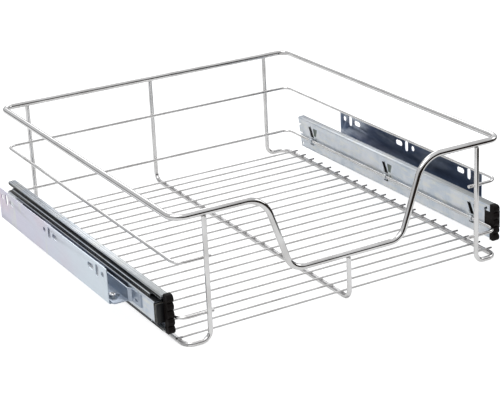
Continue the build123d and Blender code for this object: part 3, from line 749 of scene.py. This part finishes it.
weldTree = closeTree(g, beads, given["Finish"])
weldPiece = grow("weldBeads", weldTree, seedMesh("weldSeed", spots, joined=0, size=sizes), {
    "Unevenness": weld["unevenness"], "Smallest": weld["smallest"], "Seed Number": weld["seed"],
    "Finish": weldChrome,
})
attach(weldPiece, "basket")
print("wires and welds made:", len(spots), "welds")


# rolled and pressed steel, and plastics: the frame's solids with eased edges and smooth bends
cleaning = {"merge": 0.002, "flatAngle": 1.0, "sharpAngle": 35.0, "easeSteps": 2, "rubberSteps": 3}


def easedCopy(name, node, finish, edge, segments):
    source = nodes[node]
    sharp = math.radians(cleaning["sharpAngle"])
    work = bmesh.new()
    work.from_mesh(source.data)
    bmesh.ops.remove_doubles(work, verts=work.verts, dist=cleaning["merge"] * mm)
    bmesh.ops.dissolve_limit(
        work, angle_limit=math.radians(cleaning["flatAngle"]), verts=work.verts, edges=work.edges,
        use_dissolve_boundaries=False,
    )
    mesh = bpy.data.meshes.new(name)
    work.to_mesh(mesh)
    work.free()
    made = bpy.data.objects.new(name, mesh)
    bpy.context.scene.collection.objects.link(made)
    if edge:
        ease = made.modifiers.new("eased edges", "BEVEL")
        ease.width = edge * mm
        ease.segments = segments
        ease.limit_method = "ANGLE"
        ease.angle_limit = sharp
        ease.use_clamp_overlap = True
        evaluated = made.evaluated_get(bpy.context.evaluated_depsgraph_get())
        mesh = bpy.data.meshes.new_from_object(evaluated)
        made.modifiers.clear()
        made.data = mesh
    mesh.name = name
    mesh.materials.clear()
    mesh.materials.append(finish)
    for face in mesh.polygons:
        face.material_index = 0
        face.use_smooth = True
    mesh.set_sharp_from_angle(angle=sharp)
    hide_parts(node)
    return made


steelParts = {  # node: body word, finish, eased edge in mm, slot
    "basket_rail": ("basket", basketZinc, 0.18, "zinc_rail"),
    "middle_rail": ("middle_runner", middleZinc, 0.18, "zinc_rail"),
    "cabinet_rail": ("cabinet_side", cabinetZinc, 0.18, "zinc_rail"),
    "mounting_plate": ("cabinet_side", plateZinc, 0.2, "zinc_plate"),
    "front_foot": ("cabinet_side", footZinc, 0.25, "zinc_plate"),
    "rear_foot": ("cabinet_side", footZinc, 0.25, "zinc_plate"),
    "outer_ball_cage": ("outer_cage", cagePlastic, 0.0, "cage_plastic"),
    "inner_ball_cage": ("inner_cage", cagePlastic, 0.0, "cage_plastic"),
    "cabinet_stop": ("cabinet_side", blackPlastic, 0.3, "black_plastic"),
    "bumper": ("basket", blackRubber, 0.9, "black_rubber"),
}
for side in ("left", "right"):
    for part, (word, finish, edge, slotName) in steelParts.items():
        body = word if word in frame["bodies"] else f"{side}_{word}"
        words = part.split("_")
        name = side + "".join(w.capitalize() for w in words)
        if side == "left" and part == "mounting_plate":
            finish = leftPlateZinc
        steps = cleaning["rubberSteps"] if part == "bumper" else cleaning["easeSteps"]
        piece = easedCopy(name, f"{side}_{part}", finish, edge, steps)
        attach(piece, body)
print("rails, plates and plastics dressed")

# balls: one sphere set down on each place in a cage; sizes in mm
balls = {
    "outer": {"radius": 1.2, "out": 201.2, "rise": 16.9, "first": -74.0, "pitch": 16.0, "count": 11},
    "inner": {"radius": 1.35, "out": 203.65, "rise": 12.75, "first": -88.0, "pitch": 16.0, "count": 11},
}
ballFacets = {"segments": 24, "rings": 14}
g, given = shapeTree("bearing balls", {"Ball Radius": 0.0012, "Segments": 24, "Rings": 14})
ball = g.node("GeometryNodeMeshUVSphere", sockets={
    "Segments": given["Segments"], "Rings": given["Rings"], "Radius": given["Ball Radius"],
})
ballTree = closeTree(g, g.node("GeometryNodeInstanceOnPoints", sockets={
    "Points": g.node("GeometryNodeMeshToPoints", sockets={"Mesh": given["Seed"]}), "Instance": ball,
}), given["Finish"])
for side, way in (("left", -1), ("right", 1)):
    for cage, fit in balls.items():
        places = [
            (way * fit["out"], fit["first"] + step * fit["pitch"], section["middle"] + row * fit["rise"])
            for row in (-1, 1) for step in range(fit["count"])
        ]
        piece = grow(f"{side}{cage.capitalize()}Balls", ballTree, seedMesh("ballSeed", places, joined=0), {
            "Ball Radius": fit["radius"] * mm, "Segments": ballFacets["segments"],
            "Rings": ballFacets["rings"], "Finish": brightSteel,
        })
        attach(piece, f"{side}_{cage}_cage")
        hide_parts(f"{side}_{cage}_balls")


# screws and rivets: a profile spun about its axis, crossed for a screwdriver, set down on each spot
def turnedTree(name, crossed):
    sizes = {"Profile Points": 8, "Sides": 32, "Tilt": 0.0, "Merge Distance": 0.000001}
    if crossed:
        sizes.update({"Cross": 0.0057, "Slot": 0.0012, "Slot Depth": 0.0017, "Top": 0.0034})
    g, given = shapeTree(name, sizes)
    isSpot = g.node("GeometryNodeInputNamedAttribute", {"data_type": "FLOAT"}, {"Name": "spot"})
    spots = g.node("GeometryNodeSeparateGeometry", {"domain": "POINT"}, {
        "Geometry": given["Seed"], "Selection": isSpot,
    })
    profile = Signal(g, spots.socket.node.outputs["Inverted"])
    index = g.node("GeometryNodeInputIndex")
    turn = (index / given["Profile Points"]).through("FLOOR")
    edge = g.node("GeometryNodeSampleIndex", {"data_type": "FLOAT_VECTOR", "domain": "POINT"}, {
        "Geometry": profile, "Value": g.here(), "Index": index % given["Profile Points"],
    })
    angle = turn * (2.0 * math.pi) / given["Sides"]
    spun = g.node("GeometryNodeSetPosition", sockets={
        "Geometry": g.node("GeometryNodeMeshGrid", sockets={
            "Vertices X": given["Sides"] + 1.0, "Vertices Y": given["Profile Points"],
        }),
        "Position": g.join(
            X=g.axis(edge, "X") * angle.through("COSINE"),
            Y=g.axis(edge, "X") * angle.through("SINE"),
            Z=g.axis(edge, "Z"),
        ),
    })
    solid = g.node("GeometryNodeMergeByDistance", sockets={
        "Geometry": spun, "Distance": given["Merge Distance"],
    })
    if crossed:
        for across, along in (("Cross", "Slot"), ("Slot", "Cross")):
            cutter = g.node("GeometryNodeMeshCube", sockets={
                "Size": g.join(X=given[across], Y=given[along], Z=given["Slot Depth"] * 2.0),
            })
            cutter = g.node("GeometryNodeTransform", sockets={
                "Geometry": cutter, "Translation": g.join(Z=given["Top"]),
            })
            solid = g.node("GeometryNodeMeshBoolean", {"operation": "DIFFERENCE", "solver": "EXACT"}, {
                "Mesh 1": solid, "Mesh 2": cutter,
            })
    placed = g.node("GeometryNodeInstanceOnPoints", sockets={
        "Points": g.node("GeometryNodeMeshToPoints", sockets={"Mesh": spots}), "Instance": solid,
        "Rotation": g.join(Y=given["Tilt"]),
    })
    return closeTree(g, placed, given["Finish"])


def roundedTop(radius, top, corner, steps=5):
    turns = [math.pi / 2 * step / steps for step in range(steps + 1)]
    arc = [(radius - corner + corner * math.cos(t), top - corner + corner * math.sin(t)) for t in turns]
    return arc + [(0.0, top)]


turnedSides = 32
screw = {
    "shank": 2.0, "head": 4.1, "headHeight": 3.4, "round": 1.1, "reach": 3.9, "tip": 0.3,
    "out": 224.1, "base": 31.1, "places": (-129.5, 93.5), "cross": 5.7, "slot": 1.2, "slotDepth": 1.7,
}
rivet = {
    "shank": 2.0, "head": 3.2, "headHeight": 1.2, "round": 0.6, "tail": 2.6, "grip": 2.7, "tailHeight": 1.2,
    "tip": 0.3, "out": 212.0, "places": (-72.3, 150.7), "rises": (33.6, 40.4),
}
# profiles: (radius, height) up the axis, from the tip to the middle of the head
screwProfile = [
    (0.0, -screw["reach"]), (screw["shank"] - screw["tip"], -screw["reach"]),
    (screw["shank"], screw["tip"] - screw["reach"]), (screw["shank"], 0.0), (screw["head"], 0.0),
    *roundedTop(screw["head"], screw["headHeight"], screw["round"]),
]
tailEnd = -rivet["grip"] - rivet["tailHeight"]
rivetProfile = [
    (0.0, tailEnd), (rivet["tail"] - rivet["tip"], tailEnd), (rivet["tail"], tailEnd + rivet["tip"]),
    (rivet["tail"], -rivet["grip"]), (rivet["shank"], -rivet["grip"]),
    (rivet["shank"], 0.0), (rivet["head"], 0.0),
    *roundedTop(rivet["head"], rivet["headHeight"], rivet["round"]),
]
screwTree = turnedTree("crossed screws", True)
rivetTree = turnedTree("rivets", False)
for side, way in (("left", -1), ("right", 1)):
    screwSpots = [(way * screw["out"], y, screw["base"]) for y in screw["places"]]
    rivetSpots = [(way * rivet["out"], y, z) for y in rivet["places"] for z in rivet["rises"]]
    turned = {
        "FootScrews": (screwTree, screwProfile, screwSpots, 0.0),
        "FootRivets": (rivetTree, rivetProfile, rivetSpots, way * math.pi / 2),
    }
    for word, (tree, profile, spots, tilt) in turned.items():
        points = [(r, 0.0, h) for r, h in profile] + spots
        isSpot = [0.0] * len(profile) + [1.0] * len(spots)
        seed = seedMesh("turnedSeed", points, joined=len(profile), spot=isSpot)
        values = {"Profile Points": len(profile), "Sides": turnedSides, "Tilt": tilt, "Finish": brightSteel}
        if tree is screwTree:
            values.update({"Cross": screw["cross"] * mm, "Slot": screw["slot"] * mm,
                           "Slot Depth": screw["slotDepth"] * mm, "Top": screw["headHeight"] * mm})
        piece = grow(side + word, tree, seed, values)
        piece.data.set_sharp_from_angle(angle=math.radians(cleaning["sharpAngle"]))
        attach(piece, "cabinet_side")
        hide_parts(f"{side}_foot_{word[4:].lower()}")
print("balls, screws and rivets set")


# studio: a pale floor, a plain room that only polished metal shows, and three soft boxes
studio = {
    "floorHalf": 4.0,
    "floorColour": (0.78, 0.78, 0.78),
    "floorGlow": 0.74,       # lifts the floor to white for the camera; the shadow stays
    "metalGlow": 0.24,       # the same for what polished metal mirrors
    "tableFront": (0.455, 0.495),  # m, the lit table ends here towards the front, seen in the metal
    "tableReach": (0.95, 1.25),    # m, and here all round
    "tableWay": (0.5, -0.866),     # X and Y of the way to the table's front
    "ambient": 0.44,
    "darkRoom": (0.022, 0.016, 0.013),
    "duskyRoom": (0.20, 0.20, 0.21),
    "paleWall": (0.62, 0.625, 0.635),
    "whiteCard": (0.75, 0.75, 0.76),
    "frontWay": (0.4, -0.92),      # X and Y of the way to the dark front of the room
    "frontEdge": (0.1, 0.5),
    "lowRoomEdge": (0.02, 0.20),   # heights in the room, where each tone gives way to the next
    "lowFrontEdge": (0.30, 0.44),
    "overheadEdge": (0.62, 0.90),
    "cardWay": (0.42, 0.80, 0.42),  # a low card stands behind the basket
    "cardEdge": (0.90, 0.96),
}


def wayTo(g, place, way):  # how far a place or a direction lies along a level way
    return g.axis(place, "X") * way[0] + g.axis(place, "Y") * way[1]


def mirroredRay(g):  # 1 for what metal or glass shows of the studio
    glossy = g.node("ShaderNodeLightPath", out="Is Glossy Ray")
    return glossy.larger(g.node("ShaderNodeLightPath", out="Is Transmission Ray"))


floorMesh = bpy.data.meshes.new("studioFloor")
half = studio["floorHalf"]
corners = [(-half, -half, 0), (half, -half, 0), (half, half, 0), (-half, half, 0)]
floorMesh.from_pydata(corners, [], [(0, 1, 2, 3)])
studioFloor = bpy.data.objects.new("studioFloor", floorMesh)
bpy.context.scene.collection.objects.link(studioFloor)
material, g = newFinish("pale floor")
floorPlace = g.place()
seen = g.node("ShaderNodeLightPath", out="Is Camera Ray")
mirrored = mirroredRay(g)
matt = g.node("ShaderNodeBsdfDiffuse", sockets={"Color": studio["floorColour"]}, out="BSDF")
glow = g.node("ShaderNodeEmission", sockets={
    "Color": (1.0, 1.0, 1.0), "Strength": seen * studio["floorGlow"] + mirrored * studio["metalGlow"],
})
lit = g.node("ShaderNodeAddShader", sockets={0: matt, 1: glow})
front = g.ramp(wayTo(g, floorPlace, studio["tableWay"]), *studio["tableFront"])
reach = g.node("ShaderNodeVectorMath", {"operation": "LENGTH"}, {0: floorPlace}, "Value")
away = g.ramp(reach, *studio["tableReach"])
room = g.node("ShaderNodeEmission", sockets={
    "Color": g.blend(front, studio["duskyRoom"], studio["darkRoom"]), "Strength": 1.0,
})
seenFloor = g.node("ShaderNodeMixShader", sockets={0: mirrored * front.larger(away), 1: lit, 2: room})
g.node("ShaderNodeOutputMaterial", sockets={"Surface": seenFloor})
floorMesh.materials.append(material)

world = bpy.data.worlds.new("studio")
bpy.context.scene.world = world
world.use_nodes = True
g = Graph(world.node_tree)
direction = g.node("ShaderNodeTexCoord", out="Generated")
up = g.axis(direction, "Z")
toFront = g.ramp(wayTo(g, direction, studio["frontWay"]), *studio["frontEdge"])
lowRoom = g.ramp(up, *studio["lowRoomEdge"], 1.0, 0.0)
lowFront = g.ramp(up, *studio["lowFrontEdge"], 1.0, 0.0) * toFront
towardsCard = g.node("ShaderNodeVectorMath", {"operation": "DOT_PRODUCT"}, {
    0: direction, 1: Vector(studio["cardWay"]).normalized(),
}, "Value")
card = g.ramp(towardsCard, *studio["cardEdge"]).larger(g.ramp(up, *studio["overheadEdge"]))
inMetal = g.blend(card, studio["paleWall"], studio["whiteCard"])
inMetal = g.blend(lowRoom, inMetal, studio["duskyRoom"])
inMetal = g.blend(lowFront, inMetal, studio["darkRoom"])
ambient = g.node("ShaderNodeBackground", sockets={"Color": (0.97, 0.985, 1.0), "Strength": studio["ambient"]})
reflected = g.node("ShaderNodeBackground", sockets={"Color": inMetal, "Strength": 1.0})
backdrop = g.node("ShaderNodeBackground", sockets={"Color": (1.0, 1.0, 1.0), "Strength": 1.0})
other = g.node("ShaderNodeMixShader", sockets={0: mirroredRay(g), 1: ambient, 2: reflected})
seen = g.node("ShaderNodeLightPath", out="Is Camera Ray")
sky = g.node("ShaderNodeMixShader", sockets={0: seen, 1: other, 2: backdrop})
g.node("ShaderNodeOutputWorld", sockets={"Surface": sky})

softboxes = {  # place in m, size in m, watts
    "keyBox": ((-0.7, -0.3, 1.6), 1.2, 9.0),
    "backBox": ((0.5, 1.3, 1.1), 1.0, 4.5),
    "rightBox": ((1.6, -0.4, 0.9), 0.8, 3.0),
}
aim = Vector((0, 0, 0.05))
for name, (spot, size, watts) in softboxes.items():
    lamp = bpy.data.lights.new(name, "AREA")
    lamp.shape = "SQUARE"
    lamp.size = size
    lamp.energy = watts
    made = bpy.data.objects.new(name, lamp)
    made.location = spot
    made.rotation_mode = "QUATERNION"
    made.rotation_quaternion = (aim - Vector(spot)).to_track_quat("-Z", "Y")
    bpy.context.scene.collection.objects.link(made)

view = {
    "azimuth": -29.08, "elevation": 20.98, "roll": -2.76, "distance": 1.85106,
    "target": (0.05867, 0.08612, 0.0026), "lens": 110.0, "sensor": 36.0, "near": 0.01, "far": 60.0,
}
a, e, r = (math.radians(view[key]) for key in ("azimuth", "elevation", "roll"))
back = Vector((math.sin(a) * math.cos(e), -math.cos(a) * math.cos(e), math.sin(e)))
level = Vector((math.cos(a), math.sin(a), 0.0))
upright = back.cross(level)
right = level * math.cos(r) + upright * math.sin(r)
top = upright * math.cos(r) - level * math.sin(r)
eye = Vector(view["target"]) + back * view["distance"]
camera = bpy.data.objects.new("camera", bpy.data.cameras.new("camera"))
camera.data.lens = view["lens"]
camera.data.sensor_width = view["sensor"]
camera.data.clip_start = view["near"]
camera.data.clip_end = view["far"]
camera.matrix_world = Matrix((
    (right.x, top.x, back.x, eye.x),
    (right.y, top.y, back.y, eye.y),
    (right.z, top.z, back.z, eye.z),
    (0.0, 0.0, 0.0, 1.0),
))
bpy.context.scene.collection.objects.link(camera)
bpy.context.scene.camera = camera
bpy.context.scene.view_settings.view_transform = "Standard"
print("studio set")
